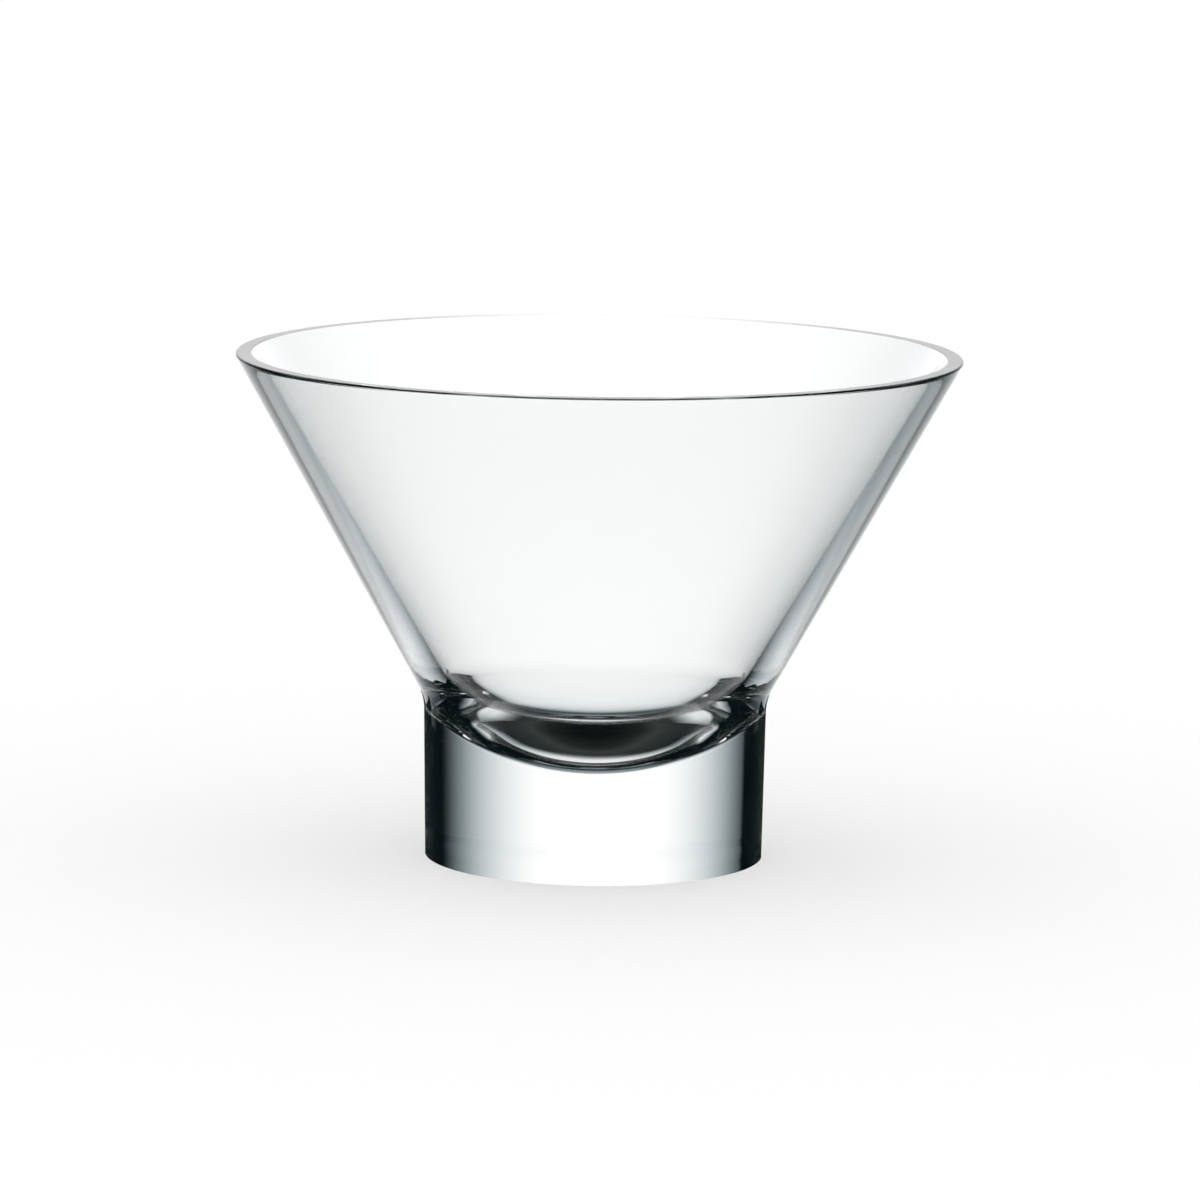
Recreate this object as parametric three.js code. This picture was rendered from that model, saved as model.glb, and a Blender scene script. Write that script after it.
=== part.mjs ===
// Glass dessert bowl: a heavy conical bowl of clear glass, fused onto a solid round foot.
//
// Both pieces are turned about the Z axis. The origin is the middle of the underside and +Z points up
// through the mouth. The bowl's rounded belly sits in a matching dish in the top of the foot, and the
// two meet along one fused seam that comes out just under the crease between the cone and the foot.
// Lengths are in millimetres and angles in radians.

import * as THREE from 'three';

// Overall form
const OVERALL_HEIGHT = 88;
const RIM_DIAMETER = 126;

// Wall of the bowl, measured level across the glass
const LIP_WIDTH = 2.7;
const LIP_EDGE_RADIUS = 0.3;
const WALL_AT_CREASE = 5.6;

// Inside of the bowl
const BASE_THICKNESS = 15.9;
const FLOOR_RADIUS = 27.5;
const HEEL_RADIUS = 52;

// Foot
const CREASE_HEIGHT = 28;
const CREASE_RADIUS = 9.5;
const FOOT_TOP_DIAMETER = 59.8;
const FOOT_BASE_DIAMETER = 59;
const FOOT_EDGE_RADIUS = 0.15;
const STAND_RING_WIDTH = 9;
const UNDERSIDE_DISH_DEPTH = 0.3;

// Fused seam between the bowl and the foot
const BELLY_THICKNESS = 5;
const SEAM_LAND_WIDTH = 3;

// Fineness of the round surfaces: facets about the axis, and how far a facet may lie inside an arc
const TURN_SEGMENTS = 72;
const FACET_SAG = 0.03;
const LEAST_ARC_STEPS = 3;

// The floor's arc stays this much tighter than the one arc that would meet the wall by itself, and the
// heel's arc this much wider, so that the three always join smoothly.
const ARC_MARGIN = 1.03;

const UPRIGHT = Math.PI / 2;

const GLASS = { color: 0xdfe8e7, roughness: 0.03, metalness: 0, transparent: true, opacity: 0.35 };

const point = (radius, height) => new THREE.Vector2(radius, height);

// A point at a distance from a centre, in a direction given by its angle from the level.
const polar = (centre, distance, angle) =>
  point(centre.x + distance * Math.cos(angle), centre.y + distance * Math.sin(angle));

// Points along an arc, both ends included.
function arc(centre, radius, from, to) {
  const widestStep = 2 * Math.acos(1 - FACET_SAG / radius);
  const steps = Math.max(LEAST_ARC_STEPS, Math.ceil(Math.abs(to - from) / widestStep));
  const points = [];
  for (let i = 0; i <= steps; i += 1) {
    points.push(polar(centre, radius, THREE.MathUtils.lerp(from, to, i / steps)));
  }
  return points;
}

// Lean from the vertical of a line that starts at a point and touches a circle on the circle's far side.
function leanOfTangent(start, centre, radius) {
  const across = centre.x - start.x;
  const up = centre.y - start.y;
  return Math.acos(-radius / Math.hypot(across, up)) - Math.atan2(up, across);
}

// The outside of the foot, drafted so that it widens a little upwards
const footBaseRadius = FOOT_BASE_DIAMETER / 2;
const footTopRadius = FOOT_TOP_DIAMETER / 2;
const crease = point(footTopRadius, CREASE_HEIGHT);
const draft = Math.atan2(footTopRadius - footBaseRadius, CREASE_HEIGHT);

// The outside of the cone, from the crease to the rounded outer edge of the lip
const rimRadius = RIM_DIAMETER / 2;
const lipOuterCentre = point(rimRadius - LIP_EDGE_RADIUS, OVERALL_HEIGHT - LIP_EDGE_RADIUS);
const outerLean = leanOfTangent(crease, lipOuterCentre, LIP_EDGE_RADIUS);

// The crease is a hollow fillet: its centre lies in the air beside the glass.
const creaseTangent = CREASE_RADIUS * Math.tan((outerLean - draft) / 2);
const seamEdge = polar(crease, -creaseTangent, UPRIGHT - draft);
const creaseCentre = polar(seamEdge, CREASE_RADIUS, -draft);

// The inside wall, from the lip down towards the crease
const lipInner = point(rimRadius - LIP_WIDTH, OVERALL_HEIGHT);
const wallFoot = point(footTopRadius - WALL_AT_CREASE, CREASE_HEIGHT);
const innerLean = Math.atan2(lipInner.x - wallFoot.x, lipInner.y - wallFoot.y);
const lipInnerInset = (LIP_EDGE_RADIUS * (1 - Math.sin(innerLean))) / Math.cos(innerLean);
const lipInnerCentre = point(lipInner.x + lipInnerInset, OVERALL_HEIGHT - LIP_EDGE_RADIUS);

// How far a point on the axis lies from the inside wall
const axisToWall = (height) =>
  lipInner.x * Math.cos(innerLean) + (height - OVERALL_HEIGHT) * Math.sin(innerLean);

// The floor's arc is centred on the axis, and the heel's wider arc leads from it into the wall.
const singleArcRadius = axisToWall(BASE_THICKNESS) / (1 - Math.sin(innerLean));
const floorRadius = Math.min(FLOOR_RADIUS, singleArcRadius / ARC_MARGIN);
const heelRadius = Math.max(HEEL_RADIUS, singleArcRadius * ARC_MARGIN);
const floorCentre = point(0, BASE_THICKNESS + floorRadius);
const heelShare = (heelRadius - axisToWall(floorCentre.y)) / (heelRadius - floorRadius);
const floorEnd = Math.asin(heelShare) - innerLean - UPRIGHT;
const heelCentre = polar(floorCentre, floorRadius - heelRadius, floorEnd);

// The seam runs level from the outside, then round under the belly to the axis.
function seamProfile() {
  const land = point(seamEdge.x - SEAM_LAND_WIDTH, seamEdge.y);
  const bellyBottom = BASE_THICKNESS - BELLY_THICKNESS;
  const rise = land.y - bellyBottom;
  const radius = (land.x ** 2 + rise ** 2) / (2 * rise);
  const centre = point(0, bellyBottom + radius);
  const landAngle = Math.atan2(land.y - centre.y, land.x);
  return [...arc(centre, radius, -UPRIGHT, landAngle), seamEdge];
}

// Bowl: up the seam from the axis, up the cone, over the lip and down the inside to the axis.
function bowlProfile(seam) {
  const creaseFillet = arc(creaseCentre, CREASE_RADIUS, Math.PI - draft, Math.PI - outerLean);
  return [
    ...seam,
    ...creaseFillet.slice(1),
    ...arc(lipOuterCentre, LIP_EDGE_RADIUS, -outerLean, UPRIGHT),
    ...arc(lipInnerCentre, LIP_EDGE_RADIUS, UPRIGHT, Math.PI - innerLean),
    ...arc(heelCentre, heelRadius, -innerLean, floorEnd),
    ...arc(floorCentre, floorRadius, floorEnd, -UPRIGHT).slice(1),
  ];
}

// Foot: out along the dished underside and the stand ring, up the side and back along the seam.
function footProfile(seam) {
  const ringInner = footBaseRadius - STAND_RING_WIDTH;
  const dishRadius = (ringInner ** 2 + UNDERSIDE_DISH_DEPTH ** 2) / (2 * UNDERSIDE_DISH_DEPTH);
  const dishCentre = point(0, UNDERSIDE_DISH_DEPTH - dishRadius);
  const ringAngle = Math.atan2(-dishCentre.y, ringInner);
  const edgeInset = (FOOT_EDGE_RADIUS * (1 - Math.sin(draft))) / Math.cos(draft);
  const edgeCentre = point(footBaseRadius - edgeInset, FOOT_EDGE_RADIUS);
  return [
    ...arc(dishCentre, dishRadius, UPRIGHT, ringAngle),
    ...arc(edgeCentre, FOOT_EDGE_RADIUS, -UPRIGHT, -draft),
    ...[...seam].reverse(),
  ];
}

// Turns a profile of radius and height about the Z axis into a solid with its own glass material.
function turned(name, profile) {
  const geometry = new THREE.LatheGeometry(profile, TURN_SEGMENTS);
  geometry.rotateX(UPRIGHT);
  const mesh = new THREE.Mesh(geometry, new THREE.MeshStandardMaterial(GLASS));
  mesh.name = name;
  return mesh;
}

const seam = seamProfile();
const dessertBowl = new THREE.Group();
dessertBowl.add(turned('bowl', bowlProfile(seam)), turned('foot', footProfile(seam)));

export default dessertBowl;
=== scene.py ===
"""Studio scene of a clear glass dessert bowl on a solid round foot.

The bowl and its foot are turned about the Z axis from their half sections. They are fused, so light
crosses the seam between them as if it were not there. A light tent, which travels with the camera, gives
the glass a bright window behind it, dark sides and pale cards in front. Black cards beside the foot and a
dark sheet under it, which is painted shade standing for the shadowed floor beneath the foot, draw the
foot's edges, and a white floor takes the soft shadow.
"""

import logging
import math
from dataclasses import dataclass, field
from enum import Enum
from itertools import product
from typing import Any

import bmesh
import bpy
from mathutils import Matrix, Vector


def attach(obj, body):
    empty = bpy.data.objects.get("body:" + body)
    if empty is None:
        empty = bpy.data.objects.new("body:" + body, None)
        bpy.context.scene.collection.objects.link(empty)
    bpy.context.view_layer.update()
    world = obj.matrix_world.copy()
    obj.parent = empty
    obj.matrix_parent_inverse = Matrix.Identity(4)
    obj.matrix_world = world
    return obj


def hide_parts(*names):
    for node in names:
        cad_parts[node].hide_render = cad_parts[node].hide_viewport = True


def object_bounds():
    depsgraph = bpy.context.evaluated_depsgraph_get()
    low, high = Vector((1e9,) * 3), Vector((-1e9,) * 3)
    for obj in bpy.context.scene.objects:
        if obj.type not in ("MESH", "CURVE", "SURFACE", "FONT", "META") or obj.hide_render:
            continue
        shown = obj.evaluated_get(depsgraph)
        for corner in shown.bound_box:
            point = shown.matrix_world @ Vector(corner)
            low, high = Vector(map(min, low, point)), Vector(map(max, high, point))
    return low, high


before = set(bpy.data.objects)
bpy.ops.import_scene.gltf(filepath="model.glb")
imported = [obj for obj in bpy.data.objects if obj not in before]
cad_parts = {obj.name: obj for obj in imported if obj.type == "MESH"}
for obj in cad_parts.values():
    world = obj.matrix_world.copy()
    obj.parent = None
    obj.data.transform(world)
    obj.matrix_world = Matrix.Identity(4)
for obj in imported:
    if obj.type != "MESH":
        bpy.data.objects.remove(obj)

CAD_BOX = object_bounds()
MM = 0.001
UPRIGHT = math.pi / 2
HALF_TURN_DEGREES = 180.0

LOG = logging.getLogger("dessert_bowl")

Number = float | int
Span = tuple[float, float]
Colour = tuple[float, float, float]

WHITE: Colour = (1.0, 1.0, 1.0)


class Skin(Enum):
    """What a stretch of a half section is on the finished glass."""

    POLISHED = 0
    SEAM = 1


class Easing(Enum):
    """How a run goes from one level to another."""

    STRAIGHT = "LINEAR"
    SOFT = "SMOOTHSTEP"


class Wire:
    """A number on a node's output socket, on which Python arithmetic adds Math nodes."""

    def __init__(self, graph: "Graph", socket: bpy.types.NodeSocket) -> None:
        """Wraps one output socket of a graph."""
        self.graph = graph
        self.socket = socket

    def __add__(self, other: "Wire | Number") -> "Wire":
        """Sum."""
        return self.graph.math("ADD", self, other)

    def __sub__(self, other: "Wire | Number") -> "Wire":
        """Difference."""
        return self.graph.math("SUBTRACT", self, other)

    def __mul__(self, other: "Wire | Number") -> "Wire":
        """Product."""
        return self.graph.math("MULTIPLY", self, other)

    def __truediv__(self, other: "Wire | Number") -> "Wire":
        """Quotient."""
        return self.graph.math("DIVIDE", self, other)

    def __mod__(self, other: "Wire | Number") -> "Wire":
        """Remainder."""
        return self.graph.math("MODULO", self, other)

    def __radd__(self, other: Number) -> "Wire":
        """Sum with a plain number on the left."""
        return self.graph.math("ADD", other, self)

    def __rsub__(self, other: Number) -> "Wire":
        """Difference with a plain number on the left."""
        return self.graph.math("SUBTRACT", other, self)

    def __rmul__(self, other: Number) -> "Wire":
        """Product with a plain number on the left."""
        return self.graph.math("MULTIPLY", other, self)

    def __neg__(self) -> "Wire":
        """The same number with its sign turned."""
        return self.graph.math("MULTIPLY", self, -1.0)

    def __abs__(self) -> "Wire":
        """The number without its sign."""
        return self.graph.math("ABSOLUTE", self)


class Graph:
    """A shader or geometry node tree that is being put together."""

    def __init__(self, tree: bpy.types.NodeTree) -> None:
        """Takes over a tree, which keeps the nodes that it has."""
        self.tree = tree

    def node(
        self,
        kind: str,
        settings: dict[str, Any] | None = None,
        sockets: dict[str | int, Any] | None = None,
    ) -> bpy.types.Node:
        """Adds a node, with its settings made before its sockets are filled.

        Args:
            kind: the node's type name.
            settings: values of the node's own properties; "stops" fills a colour ramp.
            sockets: a plain value, an output socket or a Wire for each named or numbered input.

        Returns:
            The new node.
        """
        node = self.tree.nodes.new(kind)
        for name, value in (settings or {}).items():
            if name == "stops":
                self.fill_ramp(node.color_ramp, value)
            else:
                setattr(node, name, value)
        for name, value in (sockets or {}).items():
            self.plug(node.inputs[name], value)
        return node

    def plug(self, target: bpy.types.NodeSocket, value: Any) -> None:
        """Links an input or sets it.

        Args:
            target: the input.
            value: a Wire or an output socket to link it to, or a plain value to set it to.
        """
        source = value.socket if isinstance(value, Wire) else value
        if isinstance(source, bpy.types.NodeSocket):
            self.tree.links.new(source, target)
        else:
            target.default_value = source

    def math(self, operation: str, *values: Wire | Number) -> Wire:
        """Adds one Math node on wires and numbers and returns its result."""
        node = self.node("ShaderNodeMath", {"operation": operation}, dict(enumerate(values)))
        return Wire(self, node.outputs[0])

    def split(self, vector: bpy.types.NodeSocket) -> tuple[Wire, Wire, Wire]:
        """Returns the three parts of a vector socket."""
        node = self.node("ShaderNodeSeparateXYZ", sockets={0: vector})
        return Wire(self, node.outputs[0]), Wire(self, node.outputs[1]), Wire(self, node.outputs[2])

    def slope(self, value: Wire, span: Span, result: Span, easing: Easing = Easing.STRAIGHT) -> Wire:
        """Returns a run from one result to another, level beyond its ends.

        Args:
            value: the place on the run that is read.
            span: where the run starts and where it is done.
            result: what it gives at its start and at its end.
            easing: how it goes from the one to the other.

        Returns:
            The result at that place.
        """
        node = self.node(
            "ShaderNodeMapRange",
            {"interpolation_type": easing.value},
            {
                "Value": value,
                "From Min": span[0],
                "From Max": span[1],
                "To Min": result[0],
                "To Max": result[1],
            },
        )
        return Wire(self, node.outputs[0])

    def fade(self, value: Wire, span: Span) -> Wire:
        """Returns a soft step that is 1 up to the span's start and 0 from its end on."""
        return self.slope(value, span, (1.0, 0.0), Easing.SOFT)

    def ramp(self, place: Wire, stops: dict[float, Colour]) -> Wire:
        """Returns the colour at a place on a ramp, which counts as its brightness in arithmetic."""
        return Wire(self, self.node("ShaderNodeValToRGB", {"stops": stops}, {0: place}).outputs[0])

    @staticmethod
    def fill_ramp(ramp: bpy.types.ColorRamp, stops: dict[float, Colour]) -> None:
        """Gives a colour ramp its stops.

        Args:
            ramp: the ramp to fill.
            stops: the colour at each place, from 0 to 1.
        """
        places = sorted(stops)
        while len(ramp.elements) < len(places):
            ramp.elements.new(1.0)
        for element, place in zip(ramp.elements, places):
            element.position = place
            element.color = (*stops[place], 1.0)


def polar(centre: Vector, distance: float, angle: float) -> Vector:
    """Returns the point at a distance and an angle from the level, seen from a centre."""
    return centre + distance * Vector((math.cos(angle), math.sin(angle)))


@dataclass
class Outline:
    """Half section of a turned piece as points of radius and height, in millimetres."""

    points: list[Vector] = field(default_factory=list)
    skins: list[Skin] = field(default_factory=list)
    line_step: float = 1.5
    arc_step: float = math.radians(1.25)
    least_steps: int = 10
    least_length: float = 1e-6

    def reach(self, point: Vector, skin: Skin = Skin.POLISHED) -> None:
        """Draws a straight stretch to a point, in short steps, or starts the outline there.

        Args:
            point: the end of the stretch.
            skin: what the stretch is on the finished glass.
        """
        if not self.points:
            self.points.append(point)
            return
        start = self.points[-1]
        length = (point - start).length
        if length < self.least_length:
            return
        steps = math.ceil(length / self.line_step)
        self.points += [start.lerp(point, i / steps) for i in range(1, steps + 1)]
        self.skins += [skin] * steps

    def arc(self, centre: Vector, radius: float, turn: Span, skin: Skin = Skin.POLISHED) -> None:
        """Draws an arc, with a straight stretch to its start where there is a gap.

        Args:
            centre: the arc's centre.
            radius: its radius.
            turn: the angles from the level at which it starts and stops.
            skin: what it is on the finished glass.
        """
        start, stop = turn
        self.reach(polar(centre, radius, start), skin)
        steps = max(self.least_steps, math.ceil(abs(stop - start) / self.arc_step))
        angles = [start + (stop - start) * i / steps for i in range(1, steps + 1)]
        self.points += [polar(centre, radius, angle) for angle in angles]
        self.skins += [skin] * steps


class Lathe:
    """A Geometry Nodes tree that turns a half section about the Z axis into a closed piece."""

    SEAM_NAME = "fused_seam"
    WELD = 1e-6
    SHARP = math.radians(30)

    def __init__(self) -> None:
        """Builds the tree, with named inputs for its fineness and its two finishes."""
        self.tree = bpy.data.node_groups.new("lathe", "GeometryNodeTree")
        sockets = self.tree.interface
        sockets.new_socket("Section", in_out="INPUT", socket_type="NodeSocketGeometry")
        self.segments = sockets.new_socket("Segments", in_out="INPUT", socket_type="NodeSocketInt")
        self.finish = sockets.new_socket("Finish", in_out="INPUT", socket_type="NodeSocketMaterial")
        self.seam = sockets.new_socket("Seam", in_out="INPUT", socket_type="NodeSocketMaterial")
        sockets.new_socket("Piece", in_out="OUTPUT", socket_type="NodeSocketGeometry")
        self.lay_nodes()

    def lay_nodes(self) -> None:
        """Lays the section's points out on a grid, wraps the grid round the axis and closes it."""
        graph = Graph(self.tree)
        given = graph.node("NodeGroupInput").outputs
        segments = Wire(graph, given["Segments"])
        count = graph.node("GeometryNodeAttributeDomainSize", sockets={"Geometry": given["Section"]})
        grid = graph.node(
            "GeometryNodeMeshGrid",
            sockets={"Vertices X": count.outputs["Point Count"], "Vertices Y": segments + 1},
        )
        index = Wire(graph, graph.node("GeometryNodeInputIndex").outputs[0])
        place = graph.node("GeometryNodeInputPosition").outputs[0]
        on_section = graph.math("FLOOR", index / (segments + 1))
        spot = self.sample(graph, given["Section"], "FLOAT_VECTOR", place, on_section)
        radius, _, height = graph.split(spot)
        angle = index % (segments + 1) / segments * -math.tau
        wrapped = graph.node(
            "ShaderNodeCombineXYZ",
            sockets={
                0: radius * graph.math("COSINE", angle),
                1: radius * graph.math("SINE", angle),
                2: height,
            },
        )
        turned = graph.node(
            "GeometryNodeSetPosition",
            sockets={"Geometry": grid.outputs["Mesh"], "Position": wrapped.outputs[0]},
        )
        name = {"Name": self.SEAM_NAME}
        drawn = graph.node("GeometryNodeInputNamedAttribute", {"data_type": "BOOLEAN"}, name)
        of_face = graph.math("FLOOR", index / segments)
        fused_there = self.sample(graph, given["Section"], "BOOLEAN", drawn.outputs[0], of_face)
        marked = graph.node(
            "GeometryNodeStoreNamedAttribute",
            {"data_type": "BOOLEAN", "domain": "FACE"},
            name | {"Geometry": turned.outputs[0], "Value": fused_there},
        )
        welded = graph.node(
            "GeometryNodeMergeByDistance",
            sockets={"Geometry": marked.outputs[0], "Distance": self.WELD},
        )
        smooth = graph.node("GeometryNodeSetShadeSmooth", sockets={0: welded.outputs[0]})
        bend = Wire(graph, graph.node("GeometryNodeInputMeshEdgeAngle").outputs["Unsigned Angle"])
        edged = graph.node(
            "GeometryNodeSetShadeSmooth",
            {"domain": "EDGE"},
            {
                0: smooth.outputs[0],
                "Selection": graph.math("GREATER_THAN", bend, self.SHARP),
                "Shade Smooth": False,
            },
        )
        real = graph.node("GeometryNodeRealizeInstances", sockets={0: edged.outputs[0]})
        glazed = graph.node(
            "GeometryNodeSetMaterial",
            sockets={"Geometry": real.outputs[0], "Material": given["Finish"]},
        )
        fused = graph.node(
            "GeometryNodeSetMaterial",
            sockets={
                "Geometry": glazed.outputs[0],
                "Selection": drawn.outputs[0],
                "Material": given["Seam"],
            },
        )
        graph.node("NodeGroupOutput", sockets={"Piece": fused.outputs[0]})

    @staticmethod
    def sample(
        graph: Graph,
        section: bpy.types.NodeSocket,
        kind: str,
        value: bpy.types.NodeSocket,
        index: Wire,
    ) -> bpy.types.NodeSocket:
        """Returns a value of the section's point at an index.

        Args:
            graph: the tree that is being put together.
            section: the socket that carries the section.
            kind: the value's data type.
            value: the field to read on the section.
            index: number of the point along the section.

        Returns:
            The socket that carries the value read.
        """
        node = graph.node(
            "GeometryNodeSampleIndex",
            {"data_type": kind, "domain": "POINT"},
            {"Geometry": section, "Value": value, "Index": index},
        )
        return node.outputs[0]

    def turn(
        self,
        name: str,
        outline: Outline,
        segments: int,
        finish: bpy.types.Material,
        seam: bpy.types.Material,
    ) -> bpy.types.Object:
        """Turns a half section into a piece with a plain mesh.

        Args:
            name: the piece's name.
            outline: its half section.
            segments: how many facets go round the axis.
            finish: the material of its polished skin.
            seam: the material of the faces where it is fused to its neighbour.

        Returns:
            The finished piece, which sits at the origin.
        """
        section = bpy.data.meshes.new(name)
        spots = [(point.x * MM, 0.0, point.y * MM) for point in outline.points]
        section.from_pydata(spots, [(i, i + 1) for i in range(len(spots) - 1)], [])
        drawn = section.attributes.new(self.SEAM_NAME, "BOOLEAN", "POINT")
        skins = [*outline.skins, outline.skins[-1]]
        drawn.data.foreach_set("value", [skin is Skin.SEAM for skin in skins])
        piece = bpy.data.objects.new(name, section)
        bpy.context.scene.collection.objects.link(piece)
        lathe = piece.modifiers.new("lathe", "NODES")
        lathe.node_group = self.tree
        lathe[self.segments.identifier] = segments
        lathe[self.finish.identifier] = finish
        lathe[self.seam.identifier] = seam
        solid = bpy.data.meshes.new_from_object(
            piece.evaluated_get(bpy.context.evaluated_depsgraph_get())
        )
        piece.modifiers.remove(lathe)
        piece.data = solid
        solid.name = name
        bpy.data.meshes.remove(section)
        return piece


@dataclass(frozen=True)
class ClearGlass:
    """Fire-polished clear glass with a faint cool tint."""

    tint: Colour = (0.994, 1.0, 0.998)
    refraction: float = 1.5
    least_roughness: float = 0.0
    most_roughness: float = 0.01
    smear_scale: float = 60.0
    smear_detail: float = 3.0
    ripple_scale: float = 45.0
    ripple_detail: float = 1.0
    ripple_strength: float = 0.02
    ripple_depth: float = 0.0002

    def material(self) -> bpy.types.Material:
        """Mixes the glass, with faint smears in its gloss and a slight ripple in its surface.

        Returns:
            The material.
        """
        made = bpy.data.materials.new("clear_glass")
        made.use_nodes = True
        graph = Graph(made.node_tree)
        shader = made.node_tree.nodes["Principled BSDF"]
        place = graph.node("ShaderNodeTexCoord").outputs["Object"]
        smear = graph.node(
            "ShaderNodeTexNoise",
            sockets={"Vector": place, "Scale": self.smear_scale, "Detail": self.smear_detail},
        )
        ripple = graph.node(
            "ShaderNodeTexNoise",
            sockets={"Vector": place, "Scale": self.ripple_scale, "Detail": self.ripple_detail},
        )
        bump = graph.node(
            "ShaderNodeBump",
            sockets={
                "Strength": self.ripple_strength,
                "Distance": self.ripple_depth,
                "Height": ripple.outputs[0],
            },
        )
        spread = self.most_roughness - self.least_roughness
        roughness = self.least_roughness + spread * Wire(graph, smear.outputs[0])
        graph.plug(shader.inputs["Base Color"], (*self.tint, 1.0))
        graph.plug(shader.inputs["Transmission Weight"], 1.0)
        graph.plug(shader.inputs["IOR"], self.refraction)
        graph.plug(shader.inputs["Roughness"], roughness)
        graph.plug(shader.inputs["Normal"], bump.outputs[0])
        return made


@dataclass(frozen=True)
class FusedSeam:
    """The place where two pieces of glass have run together, which light crosses unbent."""

    def material(self) -> bpy.types.Material:
        """Mixes a clear finish for the faces inside the glass.

        Returns:
            The material.
        """
        made = bpy.data.materials.new("fused_seam")
        made.use_nodes = True
        graph = Graph(made.node_tree)
        made.node_tree.nodes.remove(made.node_tree.nodes["Principled BSDF"])
        through = graph.node("ShaderNodeBsdfTransparent")
        graph.plug(made.node_tree.nodes["Material Output"].inputs["Surface"], through.outputs[0])
        return made


@dataclass(frozen=True)
class Form:
    """The sizes that the bowl and the foot share, in millimetres, and what follows from them."""

    height: float = 88.0
    rim_diameter: float = 125.98
    lip_edge_radius: float = 0.3
    base_thickness: float = 15.9
    crease_height: float = 28.0
    crease_radius: float = 9.5
    foot_top_diameter: float = 59.8
    foot_base_diameter: float = 59.0
    belly_thickness: float = 5.0
    seam_land_width: float = 3.0
    segments: int = 256

    @property
    def crease(self) -> Vector:
        """Where the cone and the side of the foot would meet without their fillet."""
        return Vector((self.foot_top_diameter / 2, self.crease_height))

    @property
    def draft(self) -> float:
        """Lean of the foot's side, which widens upwards."""
        return math.atan2((self.foot_top_diameter - self.foot_base_diameter) / 2, self.crease_height)

    @property
    def lip_outer_centre(self) -> Vector:
        """Centre of the rounding on the outer edge of the lip."""
        inset = self.lip_edge_radius
        return Vector((self.rim_diameter / 2 - inset, self.height - inset))

    @property
    def outer_lean(self) -> float:
        """Lean of the cone's outside from the vertical."""
        way = self.lip_outer_centre - self.crease
        return math.acos(-self.lip_edge_radius / way.length) - math.atan2(way.y, way.x)

    @property
    def seam_edge(self) -> Vector:
        """Where the seam comes out, at the lower end of the crease's fillet."""
        run = self.crease_radius * math.tan((self.outer_lean - self.draft) / 2)
        return polar(self.crease, -run, UPRIGHT - self.draft)

    def draw_seam(self, outline: Outline, inwards: bool) -> None:
        """Draws the seam under the belly on an outline.

        Args:
            outline: the half section to draw on.
            inwards: whether the seam is drawn from the outside to the axis.
        """
        land = self.seam_edge - Vector((self.seam_land_width, 0.0))
        bottom = self.base_thickness - self.belly_thickness
        rise = land.y - bottom
        radius = (land.x**2 + rise**2) / (2 * rise)
        centre = Vector((0.0, bottom + radius))
        land_angle = math.atan2(land.y - centre.y, land.x)
        if inwards:
            outline.reach(self.seam_edge, Skin.SEAM)
            outline.arc(centre, radius, (land_angle, -UPRIGHT), Skin.SEAM)
        else:
            outline.arc(centre, radius, (-UPRIGHT, land_angle), Skin.SEAM)
            outline.reach(self.seam_edge, Skin.SEAM)


@dataclass
class Bowl:
    """The conical bowl: flat lip, thick wall, rounded floor and the belly that is fused to the foot."""

    form: Form
    lip_width: float = 2.7
    wall_at_crease: float = 5.6
    floor_radius: float = 27.5
    heel_radius: float = 52.0

    def section(self) -> Outline:
        """Draws the half section: up the seam and the cone, over the lip and down the inside.

        Returns:
            The half section, from the axis round to the axis.
        """
        form = self.form
        outline = Outline()
        form.draw_seam(outline, inwards=False)
        crease_centre = polar(form.seam_edge, form.crease_radius, -form.draft)
        outline.arc(crease_centre, form.crease_radius, (math.pi - form.draft, math.pi - form.outer_lean))
        outline.arc(form.lip_outer_centre, form.lip_edge_radius, (-form.outer_lean, UPRIGHT))
        lip_inner = Vector((form.rim_diameter / 2 - self.lip_width, form.height))
        wall_foot = form.crease - Vector((self.wall_at_crease, 0.0))
        lean = math.atan2(lip_inner.x - wall_foot.x, lip_inner.y - wall_foot.y)
        inset = form.lip_edge_radius * (1 - math.sin(lean)) / math.cos(lean)
        lip_centre = lip_inner + Vector((inset, -form.lip_edge_radius))
        outline.arc(lip_centre, form.lip_edge_radius, (UPRIGHT, math.pi - lean))
        self.draw_inside(outline, lip_inner, lean)
        return outline

    def draw_inside(self, outline: Outline, lip_inner: Vector, lean: float) -> None:
        """Draws the heel and the floor of the inside.

        Args:
            outline: the half section to draw on.
            lip_inner: inner corner of the lip before its rounding.
            lean: the inside wall's lean from the vertical.
        """
        floor_centre = Vector((0.0, self.form.base_thickness + self.floor_radius))
        to_wall = lip_inner.x * math.cos(lean) + (floor_centre.y - lip_inner.y) * math.sin(lean)
        share = (self.heel_radius - to_wall) / (self.heel_radius - self.floor_radius)
        floor_end = math.asin(share) - lean - UPRIGHT
        heel_centre = polar(floor_centre, self.floor_radius - self.heel_radius, floor_end)
        outline.arc(heel_centre, self.heel_radius, (-lean, floor_end))
        outline.arc(floor_centre, self.floor_radius, (floor_end, -UPRIGHT))

    def build(self, lathe: Lathe, glass: bpy.types.Material, seam: bpy.types.Material) -> bpy.types.Object:
        """Turns and dresses the bowl, which stands for the CAD node of that name.

        Args:
            lathe: the tree that turns it.
            glass: the finish of its polished skin.
            seam: the finish of the faces that are fused to the foot.

        Returns:
            The finished piece.
        """
        piece = lathe.turn("glass_bowl", self.section(), self.form.segments, glass, seam)
        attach(piece, "root")
        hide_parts("bowl")
        return piece


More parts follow.
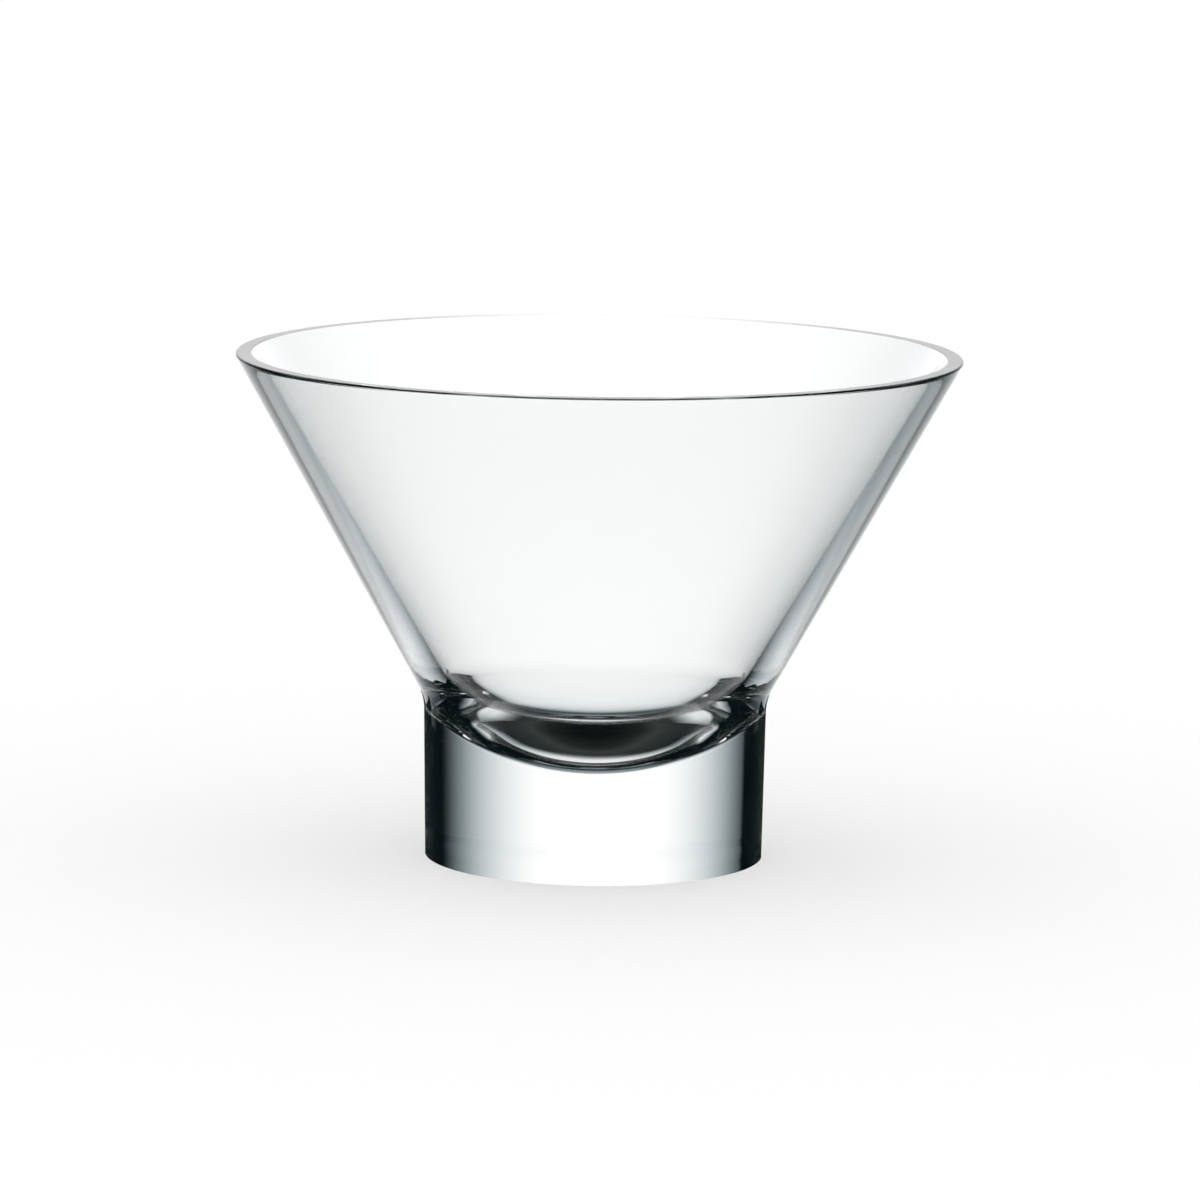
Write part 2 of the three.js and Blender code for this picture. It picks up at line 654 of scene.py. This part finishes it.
@dataclass
class Foot:
    """The solid round foot, with a dish in its top for the belly and a shallow one underneath."""

    form: Form
    ring_width: float = 9.0
    dish_depth: float = 0.3

    def section(self) -> Outline:
        """Draws the half section: out along the underside, up the side and in along the seam.

        Returns:
            The half section, from the axis round to the axis.
        """
        form = self.form
        outline = Outline()
        base_radius = form.foot_base_diameter / 2
        ring_inner = base_radius - self.ring_width
        dish_radius = (ring_inner**2 + self.dish_depth**2) / (2 * self.dish_depth)
        dish_centre = Vector((0.0, self.dish_depth - dish_radius))
        ring_angle = math.atan2(-dish_centre.y, ring_inner)
        outline.arc(dish_centre, dish_radius, (UPRIGHT, ring_angle))
        outline.reach(Vector((base_radius, 0.0)))
        outline.reach(form.seam_edge)
        form.draw_seam(outline, inwards=True)
        return outline

    def build(self, lathe: Lathe, glass: bpy.types.Material, seam: bpy.types.Material) -> bpy.types.Object:
        """Turns and dresses the foot, which stands for the CAD node of that name.

        Args:
            lathe: the tree that turns it.
            glass: the finish of its polished skin.
            seam: the finish of the faces that are fused to the bowl.

        Returns:
            The finished piece.
        """
        piece = lathe.turn("glass_foot", self.section(), self.form.segments, glass, seam)
        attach(piece, "root")
        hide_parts("foot")
        return piece


@dataclass(frozen=True)
class Surround:
    """Something that the glass looks out on, seen only through it and in its reflections.

    Light that the floor has scattered meets an even level in its place, so that the floor stays evenly lit.
    """

    dark: Colour = (0.002, 0.0045, 0.005)
    bounce: float = 1.1
    least_scatter: float = 0.5

    def shape(self) -> tuple[str, bmesh.types.BMesh]:
        """Returns its name and its shape, in metres."""
        raise NotImplementedError

    def shown(self, graph: Graph) -> bpy.types.NodeSocket:
        """Lays the nodes of what the glass sees of it and returns their shader."""
        raise NotImplementedError

    def place(self) -> bpy.types.Object:
        """Puts it on the stage with its finish.

        Returns:
            Its object.
        """
        name, shape = self.shape()
        mesh = bpy.data.meshes.new(name)
        shape.to_mesh(mesh)
        shape.free()
        paint = bpy.data.materials.new(name)
        paint.use_nodes = True
        paint.cycles.emission_sampling = "NONE"
        nodes = paint.node_tree.nodes
        nodes.remove(nodes["Principled BSDF"])
        graph = Graph(paint.node_tree)
        even = graph.node("ShaderNodeEmission", sockets={"Strength": self.bounce})
        depth = Wire(graph, graph.node("ShaderNodeLightPath").outputs["Diffuse Depth"])
        scattered = graph.math("GREATER_THAN", depth, self.least_scatter)
        mix = graph.node(
            "ShaderNodeMixShader", sockets={0: scattered, 1: self.shown(graph), 2: even.outputs[0]}
        )
        graph.plug(nodes["Material Output"].inputs["Surface"], mix.outputs[0])
        mesh.materials.append(paint)
        prop = bpy.data.objects.new(name, mesh)
        bpy.context.scene.collection.objects.link(prop)
        prop.visible_camera = False
        prop.visible_diffuse = False
        prop.visible_shadow = False
        return prop


@dataclass(frozen=True)
class Reflector:
    """A pale card in front of the object, in degrees from straight in front and from the level.

    Each of its edges is soft and given as where it starts and where it is done.
    """

    level: float
    inner: Span
    outer: Span
    low: Span
    high: Span

    def glow(self, graph: Graph, turned: Wire, raised: Wire) -> Wire:
        """Returns how bright the card is in a direction.

        Args:
            graph: the tent's node tree.
            turned: how far the direction lies from straight in front, to either side.
            raised: how far it lies above the level.

        Returns:
            The card's brightness.
        """
        across = (1.0 - graph.fade(turned, self.inner)) * graph.fade(turned, self.outer)
        upright = (1.0 - graph.fade(raised, self.low)) * graph.fade(raised, self.high)
        return self.level * across * upright


@dataclass(frozen=True)
class LightTent(Surround):
    """A round dark tent with a bright window behind the object and pale cards in front.

    Its radius is in metres and its angles are in degrees. The window's heights are pairs of an angle above
    the level and the glow there, and the shades are what a deep and a light glow look like.
    """

    radius: float = 0.5
    rings: int = 32
    strength: float = 1.15
    turn: float = 1.8
    side_fade: Span = (7.0, 53.0)
    left_flag: Span = (45.2, 48.8)
    right_flag: Span = (53.0, 57.0)
    narrowing: Span = (-50.0, -30.0)
    narrow_width: float = 0.42
    # Below the level the window stands for the floor, which the glass does not see; the dip to 0.07 near
    # -58 degrees is painted shadow of the floor close behind the foot.
    heights: tuple[Span, ...] = (
        (-71.0, 0.5),
        (-66.0, 0.25),
        (-61.0, 0.1),
        (-58.0, 0.07),
        (-56.0, 0.33),
        (-53.0, 0.66),
        (-48.0, 0.82),
        (-41.0, 0.89),
        (-35.0, 0.93),
        (-25.0, 1.0),
        (-12.0, 1.0),
        (-7.0, 0.97),
        (3.0, 0.96),
        (7.0, 1.0),
        (13.0, 1.0),
        (19.0, 0.88),
        (37.0, 0.42),
        (49.0, 0.15),
        (58.0, 0.0),
    )
    cards: tuple[Reflector, ...] = (
        Reflector(0.22, (-2.0, -1.0), (8.0, 17.0), (27.0, 33.0), (41.0, 47.0)),
        Reflector(0.3, (22.0, 28.0), (50.0, 62.0), (25.0, 28.0), (32.0, 36.0)),
    )
    deep_glow: float = 0.25
    deep_shade: Colour = (0.215, 0.250, 0.262)
    light_glow: float = 0.6
    light_shade: Colour = (0.560, 0.605, 0.620)

    def shape(self) -> tuple[str, bmesh.types.BMesh]:
        """Makes the round shell.

        Returns:
            Its name and its shape.
        """
        shell = bmesh.new()
        bmesh.ops.create_uvsphere(
            shell, u_segments=2 * self.rings, v_segments=self.rings, radius=self.radius
        )
        return "light_tent", shell

    def shown(self, graph: Graph) -> bpy.types.NodeSocket:
        """Lays the glow of the window, which narrows downwards, and of the cards.

        Args:
            graph: the tent's node tree.

        Returns:
            The shader.
        """
        across, away, up = graph.split(graph.node("ShaderNodeTexCoord").outputs["Object"])
        outward = graph.math("SQRT", across * across + away * away)
        aside = graph.math("DEGREES", graph.math("ARCTAN2", across, away))
        raised = graph.math("DEGREES", graph.math("ARCTAN2", up, outward))
        width = graph.slope(raised, self.narrowing, (self.narrow_width, 1.0))
        by_height = {0.5 + height / HALF_TURN_DEGREES: (part,) * 3 for height, part in self.heights}
        glow = (
            graph.fade(abs(aside + self.turn) / width, self.side_fade)
            * graph.fade(-aside, self.left_flag)
            * graph.fade(aside, self.right_flag)
            * graph.ramp(raised / HALF_TURN_DEGREES + 0.5, by_height)
        )
        for card in self.cards:
            glow = glow + card.glow(graph, HALF_TURN_DEGREES - abs(aside), raised)
        shades = {
            0.0: self.dark,
            self.deep_glow: self.deep_shade,
            self.light_glow: self.light_shade,
            1.0: WHITE,
        }
        sockets = {"Color": graph.ramp(glow, shades), "Strength": self.strength}
        return graph.node("ShaderNodeEmission", sockets=sockets).outputs[0]


@dataclass(frozen=True)
class Flag:
    """A black card upright beside the foot, in metres.

    Its setback is how far it stands behind the axis, and each corner is a distance aside and a height.
    """

    setback: float
    corners: tuple[Span, ...]


@dataclass(frozen=True)
class SideFlags(Surround):
    """Black cards beside the foot, a wide and a narrow one on each side, which draw its edges dark."""

    wide: Flag = Flag(
        setback=-0.003,
        corners=(
            (0.0303, -0.0140),
            (0.0440, -0.0140),
            (0.0440, 0.0190),
            (0.0360, 0.0210),
            (0.0331, 0.0226),
            (0.0324, 0.0264),
            (0.0303, 0.0264),
        ),
    )
    narrow: Flag = Flag(
        setback=0.003,
        corners=(
            (0.03005, -0.0140),
            (0.0340, -0.0140),
            (0.0340, 0.0236),
            (0.0322, 0.0243),
            (0.0315, 0.0275),
            (0.0306, 0.0280),
            (0.03005, 0.0250),
        ),
    )

    def shape(self) -> tuple[str, bmesh.types.BMesh]:
        """Cuts the cards and stands them on both sides.

        Returns:
            Their name and their shape.
        """
        cards = bmesh.new()
        for side, flag in product((-1, 1), (self.wide, self.narrow)):
            cards.faces.new([cards.verts.new((side * x, flag.setback, z)) for x, z in flag.corners])
        return "side_flags", cards

    def shown(self, graph: Graph) -> bpy.types.NodeSocket:
        """Returns the cards' dull black."""
        return graph.node("ShaderNodeEmission", sockets={"Color": (*self.dark, 1.0)}).outputs[0]


@dataclass(frozen=True)
class PaintedFootShadow(Surround):
    """A dark sheet close under the foot, which only light at a middling slant gets through.
    It is painted shade, which stands for the shadowed floor beneath the foot.

    A slant is 0 for light along the screen and 1 for light straight through it. Lengths are in metres.
    """

    shades: tuple[tuple[float, Colour], ...] = (
        (0.80, (0.028, 0.034, 0.033)),
        (0.87, (0.040, 0.048, 0.046)),
        (0.93, (0.015, 0.019, 0.018)),
        (0.99, (0.004, 0.006, 0.006)),
    )
    radius: float = 0.0296
    drop: float = 0.0003
    segments: int = 96
    clearness: float = 0.8
    shallow_end: Span = (0.40, 0.47)
    steep_end: Span = (0.58, 0.80)

    def shape(self) -> tuple[str, bmesh.types.BMesh]:
        """Cuts the round sheet.

        Returns:
            Its name and its shape.
        """
        sheet = bmesh.new()
        level = Matrix.Translation((0.0, 0.0, -self.drop))
        bmesh.ops.create_circle(
            sheet, cap_ends=True, segments=self.segments, radius=self.radius, matrix=level
        )
        return "painted_foot_shadow", sheet

    def shown(self, graph: Graph) -> bpy.types.NodeSocket:
        """Lays the painted shade of the floor under the foot and the way through it, which depend on the
        light's slant.

        Args:
            graph: the sheet's node tree.

        Returns:
            The shader.
        """
        slant = 1.0 - Wire(graph, graph.node("ShaderNodeLayerWeight").outputs["Facing"])
        opened = (1.0 - graph.fade(slant, self.shallow_end)) * graph.fade(slant, self.steep_end)
        # Painted shade: the dark shades of the shadowed floor under the foot, by the light's slant.
        dull = graph.node("ShaderNodeEmission", sockets={"Color": graph.ramp(slant, dict(self.shades))})
        through = graph.node("ShaderNodeBsdfTransparent")
        sockets = {0: self.clearness * opened, 1: dull.outputs[0], 2: through.outputs[0]}
        return graph.node("ShaderNodeMixShader", sockets=sockets).outputs[0]


@dataclass
class Studio:
    """Camera, floor, what the glass looks out on and the even white light all round.

    Places are in metres, angles in radians, and the camera's sensor and lens in millimetres.
    """

    distance: float = 1.114
    eye_height: float = 0.2182
    pitch: float = math.radians(8.844)
    yaw: float = math.radians(-0.032)
    roll: float = math.radians(0.747)
    sensor: float = 36.0
    lens: float = 194.06
    floor_size: float = 12.0
    floor_colour: Colour = (0.97, 0.97, 0.97)
    daylight: float = 1.04
    light_bounces: int = 32

    def set_camera(self) -> bpy.types.Object:
        """Stands the camera where the photograph was taken from.

        Returns:
            The camera.
        """
        lens = bpy.data.cameras.new("camera")
        lens.sensor_width = self.sensor
        lens.lens = self.lens
        camera = bpy.data.objects.new("camera", lens)
        bpy.context.scene.collection.objects.link(camera)
        camera.matrix_world = (
            Matrix.Translation((0.0, -self.distance, self.eye_height))
            @ Matrix.Rotation(self.yaw, 4, "Z")
            @ Matrix.Rotation(UPRIGHT - self.pitch, 4, "X")
            @ Matrix.Rotation(self.roll, 4, "Z")
        )
        bpy.context.scene.camera = camera
        return camera

    def lay_floor(self) -> None:
        """Lays the pale floor, which the glass looks past into the tent."""
        paint = bpy.data.materials.new("floor_white")
        paint.use_nodes = True
        shader = paint.node_tree.nodes["Principled BSDF"]
        shader.inputs["Base Color"].default_value = (*self.floor_colour, 1.0)
        shader.inputs["Roughness"].default_value = 1.0
        shader.inputs["Specular IOR Level"].default_value = 0.0
        mesh = bpy.data.meshes.new("floor")
        reach = self.floor_size / 2
        corners = [(-reach, -reach, 0), (reach, -reach, 0), (reach, reach, 0), (-reach, reach, 0)]
        mesh.from_pydata(corners, [], [(0, 1, 2, 3)])
        mesh.materials.append(paint)
        floor = bpy.data.objects.new("floor", mesh)
        bpy.context.scene.collection.objects.link(floor)
        floor.visible_glossy = False
        floor.visible_transmission = False

    @staticmethod
    def hang_surrounds(camera: bpy.types.Object) -> None:
        """Puts up what the glass looks out on; the tent and the flags travel with the camera.

        Args:
            camera: the camera that carries them.
        """
        # The dark sheet under the foot is painted shade for the shadowed floor beneath it.
        PaintedFootShadow().place()
        tent = LightTent().place()
        tent.location = sum((Vector(corner) for corner in CAD_BOX), Vector()) / 2
        for prop in (tent, SideFlags().place()):
            prop.parent = camera
            prop.matrix_parent_inverse = camera.matrix_world.inverted()

    def light(self) -> None:
        """Sets the even white light and lets light bounce often enough inside the glass."""
        scene = bpy.context.scene
        world = scene.world or bpy.data.worlds.new("daylight")
        scene.world = world
        world.use_nodes = True
        sky = world.node_tree.nodes["Background"]
        sky.inputs["Color"].default_value = (*WHITE, 1.0)
        sky.inputs["Strength"].default_value = self.daylight
        scene.view_settings.view_transform = "Standard"
        scene.cycles.max_bounces = self.light_bounces
        scene.cycles.glossy_bounces = self.light_bounces
        scene.cycles.transmission_bounces = self.light_bounces
        scene.cycles.transparent_max_bounces = self.light_bounces


def main() -> None:
    """Builds the bowl, its foot and the studio, and notes the size of what was built."""
    logging.basicConfig(level=logging.INFO, format="%(name)s: %(message)s")
    studio = Studio()
    camera = studio.set_camera()
    studio.lay_floor()
    studio.hang_surrounds(camera)
    studio.light()
    lathe = Lathe()
    glass = ClearGlass().material()
    seam = FusedSeam().material()
    form = Form()
    for sub_assembly in (Bowl(form), Foot(form)):
        piece = sub_assembly.build(lathe, glass, seam)
        LOG.info("%s: %d faces", piece.name, len(piece.data.polygons))


if __name__ == "__main__":
    main()
